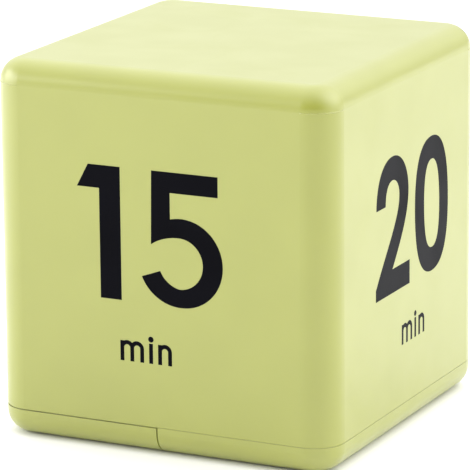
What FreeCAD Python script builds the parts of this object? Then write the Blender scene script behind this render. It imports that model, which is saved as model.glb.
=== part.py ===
import FreeCAD
import Part
import math
import os

"""Cube-shaped kitchen timer that starts when the face with the wanted time is turned up.

Millimetres, +Z up, origin at the centre of the face that the timer stands on.
-Y is the 15 minute face, +X the 20 minute face, +Y the 30 minute face and -X the 60 minute face.
Each function below makes one sub-part, and the table at the end names its node.
"""

# ---------------------------------------------------------------- driving dimensions
CASE_WIDTH = 63.5            # both across and deep
CASE_HEIGHT = 66.0
EDGE_RADIUS = 5.5            # the four upright edges
TOP_RADIUS = 4.1             # round the top face
BASE_RADIUS = 3.9            # round the face it stands on
WALL = 2.0
RIM_ROUND = 0.06             # broken edges along the visible seams

SEAM_Z = 5.0                 # where the upper case meets the base and the battery door
FIXED_GAP = 0.03             # seam between the upper case and the fixed base
DOOR_GAP = 0.20              # seam between the upper case and the battery door
SPLIT_X = -0.65              # seam between the battery door and the fixed base
SPLIT_GAP = 0.20
STEP_INSET = 0.30            # the seams round the door are wide to this depth, then narrow
STEP_GAP = 0.08

TONGUE_INSET = 0.95          # the base's tongue, measured in from the outside
TONGUE_THICK = 1.7
TONGUE_TOP = 6.5
REBATE_INSET = 0.85
REBATE_TOP = 6.6

PRINT_DEPTH = 0.12

# battery bay
CELL_RADIUS = 5.25
CELL_LENGTH = 44.5
CELL_AXIS_Z = 7.55
CELL_X = (-17.75, -6.9)      # first and second cell
CELL_TIP_Y = 23.55           # how far from the middle each cell's positive tip lies
NUB_RADIUS = 1.9
NUB_LENGTH = 0.9
SLEEVE_THICK = 0.12
BAY_X = (-23.3, -1.3)
BAY_HALF_Y = 24.8
BAY_WALL = 1.2
BAY_FLOOR_Z = 2.25
BAY_CEILING_Z = 13.1
CONTACT_THICK = 0.4
CONTACT_FACE_Y = 24.3        # inner face of the contact plates

# screws that hold the base to the upper case
LEFT_SCREW = (-26.9, 25.5)
RIGHT_SCREW = (24.5, 24.5)
SCREW_SEAT_Z = 6.8
SCREW_SEAT_TOP_Z = 8.0
SCREW_HEAD_RADIUS = 1.9
SCREW_HEAD_HEIGHT = 1.6
SCREW_SHANK_RADIUS = 1.08
SCREW_SHANK_LENGTH = 8.0
SCREW_HOLE_RADIUS = 1.14
BOSS_START_Z = 8.1
BOSS_HOLE_DEPTH = 10.0

# circuit board
BOARD_X = (0.4, 29.2)
BOARD_HALF_Y = 29.0
BOARD_Z = 7.4
BOARD_THICK = 1.2
BOARD_TOP_Z = BOARD_Z + BOARD_THICK
BOARD_NOTCH = 20.4           # corners beyond this, both ways, are cut away
BOARD_SCREWS = ((3.6, 25.4), (27.2, -12.5), (27.2, 14.5))
PIN_HOLE_RADIUS = 0.45

# display
LENS_X = (4.0, 23.0)
LENS_Y = (-14.0, 20.0)
LENS_Z = (0.25, 1.25)
WINDOW_X = (6.0, 21.0)
WINDOW_Y = (-12.0, 18.0)
LENS_TAPE_TOP_Z = 1.45
GLASS_X = (4.3, 22.7)
GLASS_Y = (-13.5, 19.5)
GLASS_Z = 2.25               # underside of the front glass
GLASS_THICK = 0.7
SEGMENT_THICK = 0.05
FILM_THICK = 0.2
REAR_GLASS_X1 = 20.3         # leaves a ledge for the rubber connector
HOLDER_X = (2.75, 24.25)
HOLDER_Y = (-15.25, 21.25)
HOLDER_Z = (2.0, 7.3)
STRIP_X = (20.7, 22.5)
STRIP_Y = (-12.5, 18.5)

# power switch
SWITCH_X = 18.3
SWITCH_Y = -21.5
SWITCH_TRAVEL = 4.0
SWITCH_CASE = (4.4, 9.4)     # across, along
SWITCH_CASE_Z = (3.9, 7.3)
LEVER_SIZE = (1.6, 2.0)
KNOB_SIZE = (4.6, 6.0)
KNOB_Z = (0.3, 1.1)
KNOB_POCKET_DEPTH = 1.2

# buzzer
BUZZER_X, BUZZER_Y = 9.0, -22.4
BUZZER_RADIUS = 6.0
BUZZER_Z = (2.4, 7.3)
BUZZER_PIN_SPACING = 6.5

# tilt switches: name, closed end's x and y, direction from the closed end to the plug
TILT_SWITCHES = (
    ("15", 5.2, 8.0, (0, 1)),
    ("20", 26.2, 8.0, (-1, 0)),
    ("30", 5.2, -4.5, (0, -1)),
    ("60", 13.8, -7.4, (1, 0)),
)
TILT_SLOPE_DEG = 10.0
TILT_CAN_RADIUS = 2.3
TILT_BORE_RADIUS = 2.05
TILT_CAN_LENGTH = 8.0
TILT_END_THICK = 0.35
TILT_PLUG_START = 5.9
TILT_FLANGE_LENGTH = 0.8
TILT_BALL_RADIUS = 1.8
TILT_BALL_GAP = 0.08
TILT_PIN_OFFSET = 1.0
TILT_AXIS_Z = BOARD_TOP_Z + TILT_CAN_RADIUS + 0.1

HALF = CASE_WIDTH / 2
V = FreeCAD.Vector
UP = V(0, 0, 1)


# ---------------------------------------------------------------- small builders
def block(x, y, z):
    """A box from three (low, high) pairs."""
    return Part.makeBox(x[1] - x[0], y[1] - y[0], z[1] - z[0], V(x[0], y[0], z[0]))


def upright_edges(solid):
    """The straight edges of a solid that run along Z."""
    found = []
    for edge in solid.Edges:
        a, b = edge.Vertexes[0].Point, edge.Vertexes[-1].Point
        if abs(a.x - b.x) < 1e-6 and abs(a.y - b.y) < 1e-6 and abs(a.z - b.z) > 1e-6:
            found.append(edge)
    return found


def rounded_block(x, y, z, radius):
    """A box whose upright edges are rounded."""
    solid = block(x, y, z)
    return solid.makeFillet(radius, upright_edges(solid))


def rod(radius, z, x=0.0, y=0.0):
    """An upright cylinder."""
    return Part.makeCylinder(radius, z[1] - z[0], V(x, y, z[0]))


def mirrored_y(point):
    """The two places that mirror each other front to back."""
    x, y = point
    return ((x, -y), (x, y))


def edges_at(solid, test):
    """The edges whose every sampled point passes the test."""
    found = []
    for edge in solid.Edges:
        points = edge.discretize(5)
        if all(test(p) for p in points):
            found.append(edge)
    return found


def joined(first, *others):
    """One solid from several that touch or overlap."""
    return first.fuse(list(others)).removeSplitter()


def group(solids):
    """Separate solids kept together in one node."""
    return Part.makeCompound(list(solids))


# ---------------------------------------------------------------- case outline
def case_form():
    """The whole outside of the timer as one solid block."""
    form = rounded_block((-HALF, HALF), (-HALF, HALF), (0, CASE_HEIGHT), EDGE_RADIUS)
    form = form.makeFillet(TOP_RADIUS, edges_at(form, lambda p: abs(p.z - CASE_HEIGHT) < 1e-6))
    return form.makeFillet(BASE_RADIUS, edges_at(form, lambda p: abs(p.z) < 1e-6))


def case_core(wall=WALL):
    """The hollow inside walls of the given thickness."""
    half = HALF - wall
    top = CASE_HEIGHT - wall
    core = rounded_block((-half, half), (-half, half), (wall, top), EDGE_RADIUS - wall)
    core = core.makeFillet(TOP_RADIUS - wall, edges_at(core, lambda p: abs(p.z - top) < 1e-6))
    return core.makeFillet(BASE_RADIUS - wall, edges_at(core, lambda p: abs(p.z - wall) < 1e-6))


def inset_outline(inset, z):
    """A slab with the case's plan outline, taken in by inset."""
    half = HALF - inset
    return rounded_block((-half, half), (-half, half), z, EDGE_RADIUS - inset)


def half_space(x=None, z=None):
    """A large block that keeps one side of a plane."""
    far = 2 * CASE_HEIGHT
    return block(x or (-far, far), (-far, far), z or (-far, far))


# ---------------------------------------------------------------- printed numerals
CAP_HEIGHT = 23.05
OVERSHOOT = 0.18
STEM = 4.0
BAR = 3.56
BOWL_STROKE = 3.5
DIGIT_GAP = 2.1
ZERO_LEAN = 1.5
AFTER_ONE_GAP = 3.9
MIN_STROKE = 0.75
MIN_HEIGHT = 3.53
MIN_PITCH = 1.88
MIN_LETTER_GAP = 0.95


def flat_solid(points_or_edges):
    """A solid of print thickness from an outline in the XY plane."""
    wire = Part.Wire(points_or_edges)
    return Part.Face(wire).extrude(UP * PRINT_DEPTH)


def polygon(*points):
    """A solid from corner points."""
    corners = [V(u, v, 0) for u, v in points]
    return flat_solid(Part.makePolygon(corners + corners[:1]).Edges)


def line(a, b):
    return Part.makeLine(V(a[0], a[1], 0), V(b[0], b[1], 0))


def arc(a, middle, b):
    return Part.Arc(V(a[0], a[1], 0), V(middle[0], middle[1], 0), V(b[0], b[1], 0)).toShape()


def bezier(*poles):
    curve = Part.BezierCurve()
    curve.setPoles([V(u, v, 0) for u, v in poles])
    return curve.toShape()


def on_circle(centre, radius, degrees):
    angle = math.radians(degrees)
    return (centre[0] + radius * math.cos(angle), centre[1] + radius * math.sin(angle))


def ring_sector(centre, outer, inner, start, end):
    """Part of a flat ring, from one angle to a larger one."""
    middle = (start + end) / 2
    outside = [on_circle(centre, outer, a) for a in (start, middle, end)]
    inside = [on_circle(centre, inner, a) for a in (end, middle, start)]
    return flat_solid([
        arc(*outside), line(outside[2], inside[0]), arc(*inside), line(inside[2], outside[0])])


def oval(centre, half_u, half_v, fullness=0.665):
    """A solid oval, a little squarer than an ellipse."""
    u, v = centre
    corners = []
    for su, sv, upright in ((1, 1, True), (-1, 1, False), (-1, -1, True), (1, -1, False)):
        side = (u + su * half_u, v)
        side_pull = (u + su * half_u, v + sv * half_v * fullness)
        end = (u, v + sv * half_v)
        end_pull = (u + su * half_u * fullness, v + sv * half_v)
        quarter = (side, side_pull, end_pull, end)
        corners.append(bezier(*(quarter if upright else quarter[::-1])))
    return flat_solid(corners)


def digit_one():
    """A stem with a slanted flag; its left end is at 0."""
    flag, rise = 4.2, 4.0
    right = flag + STEM
    return polygon((flag, 0), (right, 0), (right, CAP_HEIGHT), (2.15, CAP_HEIGHT),
                   (0, CAP_HEIGHT - rise), (flag, CAP_HEIGHT - rise)), right


def digit_five():
    """A flat bar, a short stem and a round open bowl; its left end is at 0."""
    centre, outer = (7.45, 7.55), 7.7
    hollow, inner = (7.01, 7.45), 4.42
    stem_right, bar_right = 5.42, 14.33
    stem_top, stem_foot = (1.98, CAP_HEIGHT), (1.77, 10.33)
    tail_out, tail_in = (-0.04, 4.62), (3.46, 5.89)
    join = on_circle(centre, outer, math.degrees(math.acos((stem_right - centre[0]) / outer)))
    bottom = on_circle(centre, outer, 270)
    hollow_top, hollow_bottom = on_circle(hollow, inner, 90), on_circle(hollow, inner, 270)
    edges = [
        line(stem_top, (bar_right, CAP_HEIGHT)),
        line((bar_right, CAP_HEIGHT), (bar_right, CAP_HEIGHT - BAR)),
        line((bar_right, CAP_HEIGHT - BAR), (stem_right, CAP_HEIGHT - BAR)),
        line((stem_right, CAP_HEIGHT - BAR), join),
        arc(join, on_circle(centre, outer, 0), bottom),
        arc(bottom, (1.58, 2.2), tail_out),
        line(tail_out, tail_in),
        arc(tail_in, (4.6, 4.27), hollow_bottom),
        arc(hollow_bottom, on_circle(hollow, inner, 0), hollow_top),
        arc(hollow_top, (3.95, 11.4), stem_foot),
        line(stem_foot, stem_top),
    ]
    return flat_solid(edges), centre[0] + outer


def digit_two():
    """A round head, a slanting neck and a flat foot; its left end is at 0."""
    head_foot, foot_top, foot_right = 15.25, 4.1, 13.87
    top, hollow_top = (6.81, CAP_HEIGHT + OVERSHOOT), (6.76, 19.17)
    right, hollow_right = (13.3, 16.36), (9.5, 16.2)
    head_left, hollow_left = (0.18, head_foot), (3.96, head_foot)
    heel, crook = (0.0, 1.97), (6.78, foot_top)
    edges = [
        bezier(head_left, (head_left[0], 19.5), (2.4, top[1]), top),
        bezier(top, (10.65, top[1]), (right[0], 20.0), right),
        bezier(right, (right[0], 12.55), (11.05, 9.25), crook),
        line(crook, (foot_right, foot_top)),
        line((foot_right, foot_top), (foot_right, 0)),
        line((foot_right, 0), (heel[0], 0)),
        line((heel[0], 0), heel),
        bezier(heel, (4.95, 8.6), (hollow_right[0], 12.3), hollow_right),
        bezier(hollow_right, (hollow_right[0], 17.95), (8.2, hollow_top[1]), hollow_top),
        bezier(hollow_top, (4.9, hollow_top[1]), (hollow_left[0], 17.6), hollow_left),
        line(hollow_left, head_left),
    ]
    return flat_solid(edges), foot_right


def digit_zero():
    """A tall ring that leans back a little; its left end is at 0."""
    half_u, half_v = 7.05, CAP_HEIGHT / 2 + OVERSHOOT
    centre = (half_u, CAP_HEIGHT / 2 + 0.05)
    hollow = (half_u + 0.06, centre[1] + 0.07)
    ring = oval(centre, half_u, half_v).cut(oval(hollow, 3.2, 7.65))
    ring.rotate(V(*centre, 0), V(0, 0, 1), ZERO_LEAN)
    return ring, 2 * half_u


def digit_three():
    """Two open bowls that share a middle bar; its left end is at 0."""
    lower_outer, upper_outer = 7.05, 6.45
    lower = (6.7, lower_outer - OVERSHOOT)
    upper = (6.5, CAP_HEIGHT + OVERSHOOT - upper_outer)
    bottom_bowl = ring_sector(lower, lower_outer, lower_outer - BOWL_STROKE, -163, 90)
    top_bowl = ring_sector(upper, upper_outer, upper_outer - BOWL_STROKE, -90, 163)
    bar_z = (upper[1] - upper_outer, lower[1] + lower_outer)
    bar = polygon((4.3, bar_z[0]), (lower[0], bar_z[0]), (lower[0], bar_z[1]), (4.3, bar_z[1]))
    return joined(bottom_bowl, top_bowl, bar), lower[0] + lower_outer


def digit_six():
    """A round bowl with a straight slanting stem; its left end is at 0."""
    outer = 7.35
    inner = outer - BOWL_STROKE - 0.2
    centre = (outer, outer - OVERSHOOT)
    bowl = ring_sector(centre, outer, inner, 0, 180)
    bowl = joined(bowl, ring_sector(centre, outer, inner, 180, 360))
    lean = 149.0
    across = on_circle((0, 0), 1, lean)
    along = (-across[1], across[0])
    along = (abs(along[0]), abs(along[1]))
    start_out = on_circle(centre, outer, lean)
    start_in = on_circle(centre, inner, lean)
    reach_out = (CAP_HEIGHT - start_out[1]) / along[1]
    reach_in = (CAP_HEIGHT - start_in[1]) / along[1]
    stem = polygon(start_out, start_in,
                   (start_in[0] + along[0] * reach_in, CAP_HEIGHT),
                   (start_out[0] + along[0] * reach_out, CAP_HEIGHT))
    return joined(bowl, stem), 2 * outer


DIGITS = {"0": digit_zero, "1": digit_one, "2": digit_two, "3": digit_three,
          "5": digit_five, "6": digit_six}


def arched_letter(arches):
    """The letter n with one arch, or m with two; its left end is at 0."""
    inner = (MIN_PITCH - MIN_STROKE) / 2
    outer = inner + MIN_STROKE
    centre_v = MIN_HEIGHT + 0.12 - outer
    parts = [polygon((0, 0), (MIN_STROKE, 0), (MIN_STROKE, MIN_HEIGHT), (0, MIN_HEIGHT))]
    for i in range(arches):
        left = (i + 1) * MIN_PITCH
        parts.append(polygon((left, 0), (left + MIN_STROKE, 0),
                             (left + MIN_STROKE, centre_v), (left, centre_v)))
        centre_u = i * MIN_PITCH + MIN_STROKE + inner
        parts.append(ring_sector((centre_u, centre_v), outer, inner, 0, 180))
    return joined(*parts), arches * MIN_PITCH + MIN_STROKE


def letters_min():
    """The word min as separate solids, and its width."""
    solids, u = [], 0.0
    m, width = arched_letter(2)
    solids.append(m)
    u += width + MIN_LETTER_GAP
    solids.append(polygon((u, 0), (u + MIN_STROKE, 0), (u + MIN_STROKE, MIN_HEIGHT), (u, MIN_HEIGHT)))
    dot = Part.makeCylinder(0.52, PRINT_DEPTH, V(u + MIN_STROKE / 2, MIN_HEIGHT + 0.72, 0))
    solids.append(dot)
    u += MIN_STROKE + MIN_LETTER_GAP
    n, width = arched_letter(1)
    n.translate(V(u, 0, 0))
    solids.append(n)
    return solids, u + width


# node name: (digits, turn about Z, digits' left end, their baseline, their size,
#             the word's left end, its baseline)
PRINTS = {
    "print_15": ("15", 0, -15.12, 26.7, 1.0, -7.35, 16.15),
    "print_20": ("20", 90, -13.5, 25.93, 1.03, -2.55, 15.65),
    "print_30": ("30", 180, None, 26.4, 1.0, None, 16.0),
    "print_60": ("60", 270, None, 26.4, 1.0, None, 16.0),
}


def print_solids(digits, turn, left, baseline, size, word_left, word_baseline):
    """One face's numerals and the word min, let into the wall and flush with it."""
    figures, u = [], 0.0
    for place, digit in enumerate(digits):
        figure, width = DIGITS[digit]()
        figure.translate(V(u, 0, 0))
        figures.append(figure)
        gap = AFTER_ONE_GAP if digit == "1" else DIGIT_GAP
        u += width + (gap if place == 0 else 0.0)
    left = -u * size / 2 if left is None else left
    word, word_width = letters_min()
    word_left = -word_width / 2 if word_left is None else word_left
    placed = []
    for figure in figures:
        grow = FreeCAD.Matrix()
        grow.scale(size, size, 1.0)
        figure = figure.transformGeometry(grow) if size != 1.0 else figure
        figure.translate(V(left, baseline, 0))
        placed.append(figure)
    for letter in word:
        letter.translate(V(word_left, word_baseline, 0))
        placed.append(letter)
    for solid in placed:
        # drawn in XY facing +Z: stand it up to face -Y, push it to the wall, turn it to its face
        solid.rotate(V(0, 0, 0), V(1, 0, 0), 90)
        solid.translate(V(0, -HALF + PRINT_DEPTH, 0))
        solid.rotate(V(0, 0, 0), UP, turn)
    return placed


# ---------------------------------------------------------------- case parts
def screw_places():
    return mirrored_y(LEFT_SCREW) + mirrored_y(RIGHT_SCREW)


def upper_case():
    """The five-sided cover: top, four walls, screw pillars and the recesses for the print."""
    outside = case_form().common(half_space(z=(SEAM_Z, 2 * CASE_HEIGHT)))
    rim = edges_at(outside, lambda p: abs(p.z - SEAM_Z) < 1e-6)
    shell = outside.makeFillet(RIM_ROUND, rim).cut(case_core())
    shell = shell.cut(inset_outline(REBATE_INSET, (SEAM_Z - 1, REBATE_TOP)))
    within_walls = case_core(WALL - 0.4)
    rib = 1.0
    for x, y in screw_places():
        radius = 2.3 if x < 0 else 2.6
        side_x = math.copysign(HALF, x)
        side_y = math.copysign(HALF, y)
        z = (BOSS_START_Z, CASE_HEIGHT)
        pillar = joined(
            rod(radius, z, x, y),
            block(sorted((x, side_x)), (y - rib / 2, y + rib / 2), z),
            block((x - rib / 2, x + rib / 2), sorted((y, side_y)), z))
        shell = shell.fuse(pillar.common(within_walls))
    for x, y in screw_places():
        shell = shell.cut(rod(SCREW_HOLE_RADIUS, (BOSS_START_Z - 1, BOSS_START_Z + BOSS_HOLE_DEPTH), x, y))
    shell = shell.removeSplitter()
    for details in PRINTS.values():
        shell = shell.cut(print_solids(*details))
    return shell


def base_plate():
    """The fixed half of the base, with the battery bay, door rails, screw cups and board posts."""
    fixed_x = SPLIT_X + SPLIT_GAP / 2
    skin = case_form().common(half_space(x=(fixed_x, 2 * HALF), z=(-1, SEAM_Z - FIXED_GAP)))
    split = edges_at(skin, lambda p: abs(p.x - fixed_x) < 1e-6 and p.z < SEAM_Z - FIXED_GAP - 0.01
                     or abs(p.x - fixed_x) < 1e-6 and abs(abs(p.y) - HALF) < 1e-6)
    skin = skin.makeFillet(RIM_ROUND, split).cut(case_core())
    step_x = SPLIT_X - SPLIT_GAP / 2 + STEP_GAP
    step = case_core(STEP_INSET).common(half_space(x=(step_x, fixed_x + 0.5), z=(-1, SEAM_Z - FIXED_GAP)))
    skin = skin.fuse(step.cut(case_core()))
    tongue = inset_outline(TONGUE_INSET, (SEAM_Z - 1.5, TONGUE_TOP)).cut(
        inset_outline(TONGUE_INSET + TONGUE_THICK, (0, 2 * TONGUE_TOP)))
    tongue = tongue.common(half_space(x=(fixed_x, 2 * HALF)))
    deck = inset_outline(TONGUE_INSET, (SEAM_Z, TONGUE_TOP)).common(half_space(x=(-2 * HALF, 0.9)))
    divider = block((fixed_x, 0.9), (-28.9, 28.9), (0.5, TONGUE_TOP))
    bay_outside = block((BAY_X[0] - BAY_WALL, BAY_X[1] + BAY_WALL),
                        (-BAY_HALF_Y - BAY_WALL, BAY_HALF_Y + BAY_WALL),
                        (BAY_FLOOR_Z, BAY_CEILING_Z + BAY_WALL))
    rails = [block((-24.0, -3.0), sorted((side * 25.5, side * 28.4)), (2.9, 3.7))
             for side in (-1, 1)]
    cups = [rod(2.7, (SEAM_Z, SCREW_SEAT_TOP_Z), x, y) for x, y in mirrored_y(LEFT_SCREW)]
    tubes = [rod(3.2, (WALL / 2, SCREW_SEAT_TOP_Z), x, y) for x, y in mirrored_y(RIGHT_SCREW)]
    posts = [rod(2.2, (WALL / 2, BOARD_Z), x, y) for x, y in BOARD_SCREWS]
    buzzer_ring = rod(BUZZER_RADIUS + 1.0, (WALL / 2, 3.4), BUZZER_X, BUZZER_Y).cut(
        rod(BUZZER_RADIUS + 0.15, (0, 10), BUZZER_X, BUZZER_Y))
    base = joined(skin, tongue, deck, divider, bay_outside, *rails, *cups, *tubes, *posts, buzzer_ring)

    cuts = [block(BAY_X, (-BAY_HALF_Y, BAY_HALF_Y), (0.0, BAY_CEILING_Z))]
    for x, y in screw_places():
        cuts.append(rod(SCREW_HEAD_RADIUS + 0.2, (-1, SCREW_SEAT_Z), x, y))
        cuts.append(rod(SCREW_HOLE_RADIUS + 0.1, (-1, 2 * SCREW_SEAT_TOP_Z), x, y))
    for x, y in BOARD_SCREWS:
        cuts.append(rod(0.85, (WALL + 0.6, BOARD_Z + 1), x, y))
    # display window with its lens pocket
    cuts.append(rounded_block((LENS_X[0] - 0.1, LENS_X[1] + 0.1), (LENS_Y[0] - 0.1, LENS_Y[1] + 0.1),
                              (-1, LENS_TAPE_TOP_Z), 1.6))
    cuts.append(rounded_block(WINDOW_X, WINDOW_Y, (-1, 3), 0.8))
    # switch pocket and the slot for the lever
    half_u, half_v = KNOB_SIZE[0] / 2 + 0.3, (KNOB_SIZE[1] + SWITCH_TRAVEL) / 2 + 0.3
    cuts.append(rounded_block((SWITCH_X - half_u, SWITCH_X + half_u),
                              (SWITCH_Y - half_v, SWITCH_Y + half_v), (-1, KNOB_POCKET_DEPTH), 1.0))
    slot_v = (LEVER_SIZE[1] + 0.8 + SWITCH_TRAVEL) / 2 + 0.3
    cuts.append(block((SWITCH_X - 1.5, SWITCH_X + 1.5),
                      (SWITCH_Y - slot_v, SWITCH_Y + slot_v), (-1, 3)))
    # sound holes under the buzzer
    cuts.append(rod(0.6, (-1, 3), BUZZER_X, BUZZER_Y))
    for i in range(6):
        hole = on_circle((BUZZER_X, BUZZER_Y), 2.6, 60 * i)
        cuts.append(rod(0.6, (-1, 3), *hole))
    # groove that takes the door's tongue
    cuts.append(block((fixed_x - 1, 0.8), (-24.4, 24.4), (0.85, 1.75)))
    # slots that the contact tabs come up through, and switch position marks: off, low, high
    for x in CELL_X:
        cuts.append(block((x - 1.5, x + 1.5), (-CONTACT_FACE_Y - 0.6, -CONTACT_FACE_Y + 0.1),
                          (BAY_CEILING_Z - 1, 20)))
    mark_x = SWITCH_X - half_u - 1.6
    off_y, high_y = SWITCH_Y - SWITCH_TRAVEL / 2, SWITCH_Y + SWITCH_TRAVEL / 2
    ring = rod(0.75, (-1, 0.25), mark_x, off_y - 1.2).cut(rod(0.45, (-2, 1), mark_x, off_y - 1.2))
    cuts.append(ring)
    cuts.append(block((mark_x - 0.75, mark_x + 0.75), (high_y + 0.5, high_y + 0.8), (-1, 0.25)))
    cuts.append(block((mark_x - 0.75, mark_x + 0.75), (high_y + 1.2, high_y + 1.5), (-1, 0.25)))
    cuts.append(block((mark_x - 0.75, mark_x + 0.75), (SWITCH_Y - 0.15, SWITCH_Y + 0.15), (-1, 0.25)))
    return base.cut(cuts).removeSplitter()


def battery_door():
    """The sliding half of the base, with its skirt, rail lips, grip grooves and arrow."""
    door_x = SPLIT_X - SPLIT_GAP / 2
    top = SEAM_Z - DOOR_GAP
    skin = case_form().common(half_space(x=(-2 * HALF, door_x), z=(-1, top)))
    split = edges_at(skin, lambda p: abs(p.x - door_x) < 1e-6 and p.z < top - 0.01
                     or abs(p.x - door_x) < 1e-6 and abs(abs(p.y) - HALF) < 1e-6)
    skin = skin.makeFillet(RIM_ROUND, split).cut(case_core())
    step = case_core(STEP_INSET).common(half_space(x=(-2 * HALF, door_x), z=(top - 0.5, SEAM_Z - STEP_GAP)))
    skin = skin.fuse(step.cut(case_core()))
    lips = [block((-23.0, -4.0), sorted((side * 26.5, side * 30.5)), (3.95, 4.65))
            for side in (-1, 1)]
    tongue = block((door_x - 1.0, 0.5), (-24.0, 24.0), (0.95, 1.65))
    door = joined(skin, tongue, *lips)
    cuts = []
    for i in range(6):
        x = -27.0 + 1.7 * i
        cuts.append(rounded_block((x - 0.45, x + 0.45), (-8, 8), (-1, 0.6), 0.4))
    arrow = Part.Face(Part.makePolygon([V(-15.2, -2.2, -1), V(-15.2, 2.2, -1), V(-12.0, 0, -1),
                                        V(-15.2, -2.2, -1)])).extrude(UP * 1.35)
    arrow.rotate(V(-13.6, 0, 0), UP, 180)
    cuts.append(arrow)
    return door.cut(cuts)


# ---------------------------------------------------------------- display
def lcd_window():
    return rounded_block(LENS_X, LENS_Y, LENS_Z, 1.5)


def lens_tape():
    """Adhesive frame that holds the window in its pocket."""
    outline = rounded_block((LENS_X[0] + 0.3, LENS_X[1] - 0.3), (LENS_Y[0] + 0.3, LENS_Y[1] - 0.3),
                            (LENS_Z[1], LENS_TAPE_TOP_Z), 1.2)
    opening = rounded_block((WINDOW_X[0] - 0.3, WINDOW_X[1] + 0.3),
                            (WINDOW_Y[0] - 0.3, WINDOW_Y[1] + 0.3), (0, 3), 0.9)
    return outline.cut(opening)


def lcd_front_film():
    return block((GLASS_X[0] + 0.5, REAR_GLASS_X1), (GLASS_Y[0] + 0.5, GLASS_Y[1] - 0.5),
                 (GLASS_Z - FILM_THICK, GLASS_Z))


def lcd_front_glass():
    return block(GLASS_X, GLASS_Y, (GLASS_Z, GLASS_Z + GLASS_THICK))


def lcd_rear_glass():
    low = GLASS_Z + GLASS_THICK + SEGMENT_THICK
    return block((GLASS_X[0], REAR_GLASS_X1), GLASS_Y, (low, low + GLASS_THICK))


def lcd_reflector():
    low = GLASS_Z + 2 * GLASS_THICK + SEGMENT_THICK
    return block((GLASS_X[0] + 0.5, REAR_GLASS_X1 - 0.3), (GLASS_Y[0] + 0.5, GLASS_Y[1] - 0.5),
                 (low, low + FILM_THICK))


def lcd_segments():
    """Seven-segment figures for minutes and seconds. They read along +Y with +X up."""
    width, height, thick, gap = 5.0, 9.6, 1.0, 0.12
    centre_x = (WINDOW_X[0] + WINDOW_X[1]) / 2
    centre_y = (WINDOW_Y[0] + WINDOW_Y[1]) / 2
    low = GLASS_Z + GLASS_THICK
    z = (low, low + SEGMENT_THICK)
    solids = []

    def bar(y, x, along_y, length):
        """One lozenge-ended segment."""
        half, side = length / 2 - gap, thick / 2
        if along_y:
            corners = [(x, y - half), (x + side, y - half + side), (x + side, y + half - side),
                       (x, y + half), (x - side, y + half - side), (x - side, y - half + side)]
        else:
            corners = [(x - half, y), (x - half + side, y + side), (x + half - side, y + side),
                       (x + half, y), (x + half - side, y - side), (x - half + side, y - side)]
        points = [V(px, py, z[0]) for px, py in corners]
        face = Part.Face(Part.makePolygon(points + points[:1]))
        solids.append(face.extrude(UP * SEGMENT_THICK))

    for offset in (-10.6, -4.2, 4.2, 10.6):
        y = centre_y + offset
        reach_u, reach_v = (width - thick) / 2, (height - thick) / 2
        for level in (-1, 0, 1):
            bar(y, centre_x + level * reach_v, True, 2 * reach_u)
        for side in (-1, 1):
            for level in (-1, 1):
                bar(y + side * reach_u, centre_x + level * reach_v / 2, False, reach_v)
    for side in (-1, 1):
        solids.append(rod(0.6, z, centre_x + side * 2.2, centre_y))
    return group(solids)


def lcd_holder():
    """Plastic frame that locates the glass and the rubber connector under the board."""
    frame = block(HOLDER_X, HOLDER_Y, HOLDER_Z)
    ledge_z = GLASS_Z + 2 * GLASS_THICK + SEGMENT_THICK + 2 * FILM_THICK
    pocket = block((GLASS_X[0] - 0.1, GLASS_X[1] + 0.1), (GLASS_Y[0] - 0.1, GLASS_Y[1] + 0.1),
                   (0, ledge_z))
    relief = block((GLASS_X[0] + 1.2, REAR_GLASS_X1 - 1.0), (GLASS_Y[0] + 1.5, GLASS_Y[1] - 1.5), (0, 9))
    slot = block((STRIP_X[0] - 0.15, STRIP_X[1] + 0.15), (STRIP_Y[0] - 0.2, STRIP_Y[1] + 0.2), (0, 9))
    return frame.cut([pocket, relief, slot])


def rubber_connector():
    return block(STRIP_X, STRIP_Y, (GLASS_Z + GLASS_THICK, BOARD_Z))


# ---------------------------------------------------------------- power switch and buzzer
def switch_pins_at():
    return [(SWITCH_X, SWITCH_Y + step) for step in (-3.0, -1.0, 1.0, 3.0)]


def switch_case():
    """Folded metal cover with the slot that the lever slides in."""
    half_u, half_v = SWITCH_CASE[0] / 2, SWITCH_CASE[1] / 2
    cover = block((SWITCH_X - half_u, SWITCH_X + half_u), (SWITCH_Y - half_v, SWITCH_Y + half_v),
                  SWITCH_CASE_Z)
    sheet = 0.35
    hollow = block((SWITCH_X - half_u + sheet, SWITCH_X + half_u - sheet),
                   (SWITCH_Y - half_v + sheet, SWITCH_Y + half_v - sheet),
                   (SWITCH_CASE_Z[0] + sheet, SWITCH_CASE_Z[1] + 1))
    slot_v = (LEVER_SIZE[1] + SWITCH_TRAVEL) / 2 + 0.15
    slot = block((SWITCH_X - LEVER_SIZE[0] / 2 - 0.1, SWITCH_X + LEVER_SIZE[0] / 2 + 0.1),
                 (SWITCH_Y - slot_v, SWITCH_Y + slot_v), (0, SWITCH_CASE_Z[0] + 1))
    return cover.cut([hollow, slot])


def switch_base():
    """Insulating plate with four contact pins that go through the board."""
    half_u, half_v = SWITCH_CASE[0] / 2 - 0.4, SWITCH_CASE[1] / 2 - 0.4
    plate = block((SWITCH_X - half_u, SWITCH_X + half_u), (SWITCH_Y - half_v, SWITCH_Y + half_v),
                  (6.5, SWITCH_CASE_Z[1]))
    pins = [rod(0.3, (6.0, BOARD_TOP_Z + 1.0), x, y) for x, y in switch_pins_at()]
    return joined(plate, *pins)


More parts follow.
